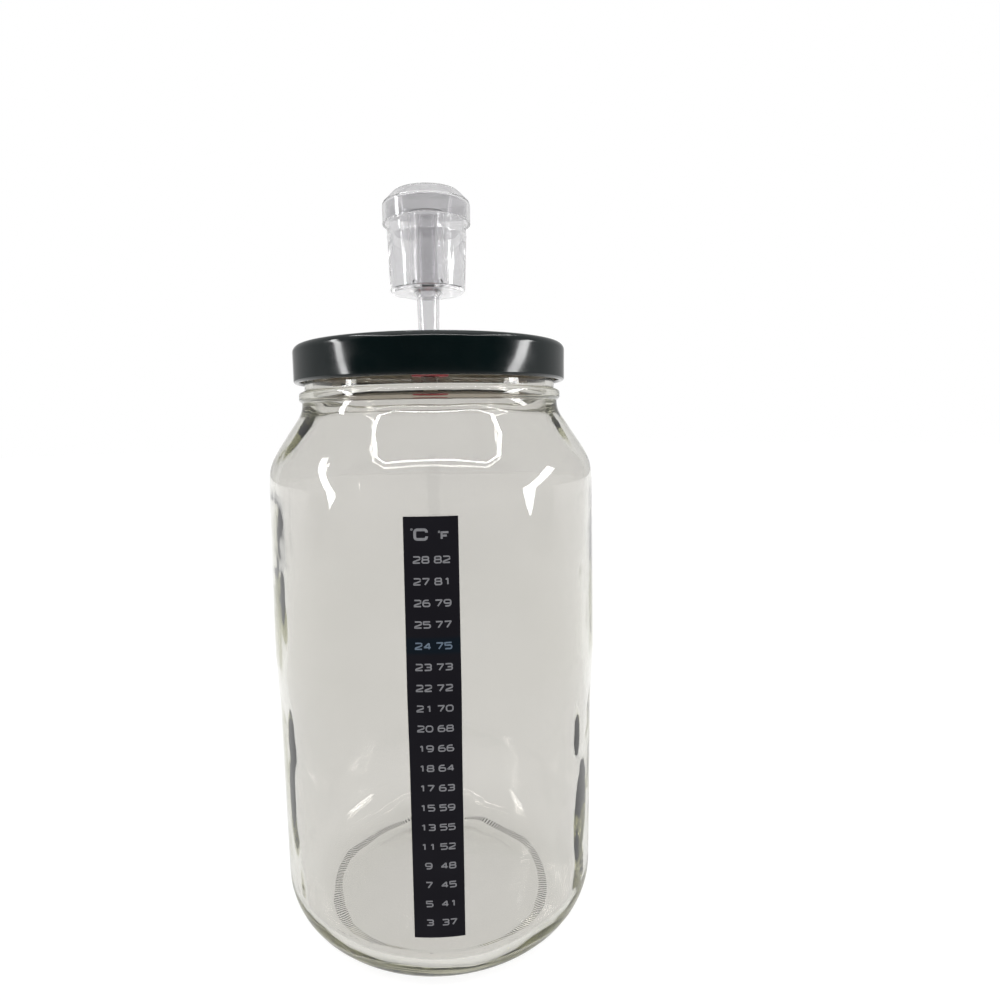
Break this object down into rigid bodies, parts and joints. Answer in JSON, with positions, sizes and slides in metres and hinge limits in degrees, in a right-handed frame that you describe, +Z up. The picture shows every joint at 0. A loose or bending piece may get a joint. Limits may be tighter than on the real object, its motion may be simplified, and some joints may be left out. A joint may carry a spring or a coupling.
{
  "type": "fermentation jar with airlock",
  "caption": "Cylindrical glass fermentation jar with a twist-off metal lid, a three-piece airlock standing in a rubber grommet, and a thermometer strip down its front.",
  "frame": {"origin": "centre of the bearing ring's plane, on the jar's axis, where the jar stands", "axes": "+Z up along the jar's axis, the thermometer strip faces -Y"},
  "size_m": [0.1392, 0.1397, 0.31],
  "materials": {
    "clear_glass": "clear, polished",
    "lid_enamel": "gloss dark green lacquer",
    "sealing_compound": "matte",
    "red_rubber": "satin",
    "clear_plastic": "clear, gloss",
    "strip_film": "satin film",
    "strip_glue": "clear, matte"
  },
  "bodies": {
    "jar": {"glass_jar": "clear_glass", "strip_adhesive": "strip_glue", "thermometer_strip": "strip_film"},
    "bung": {"grommet": "red_rubber"},
    "lid": {"lid_shell": "lid_enamel", "lid_gasket": "sealing_compound"},
    "airlock": {"airlock_body": "clear_plastic"},
    "bell": {"airlock_bell": "clear_plastic"},
    "cap": {"airlock_cap": "clear_plastic"}
  },
  "joints": [
    {"name": "lid_lift", "type": "slide", "parent": "jar", "child": "bung", "axis": [0, 0, 1], "range_m": [0, 0.04]},
    {"name": "lid_turn", "type": "hinge", "parent": "bung", "child": "lid", "pos_m": [0, 0, 0.2457], "axis": [0, 0, 1], "range_deg": [-40, 0]},
    {"name": "airlock_pull", "type": "slide", "parent": "bung", "child": "airlock", "axis": [0, 0, 1], "range_m": [0, 0.03]},
    {"name": "bell_float", "type": "slide", "parent": "airlock", "child": "bell", "axis": [0, 0, 1], "range_m": [0, 0.0084]},
    {"name": "cap_lift", "type": "slide", "parent": "airlock", "child": "cap", "axis": [0, 0, 1], "range_m": [0, 0.025]}
  ]
}
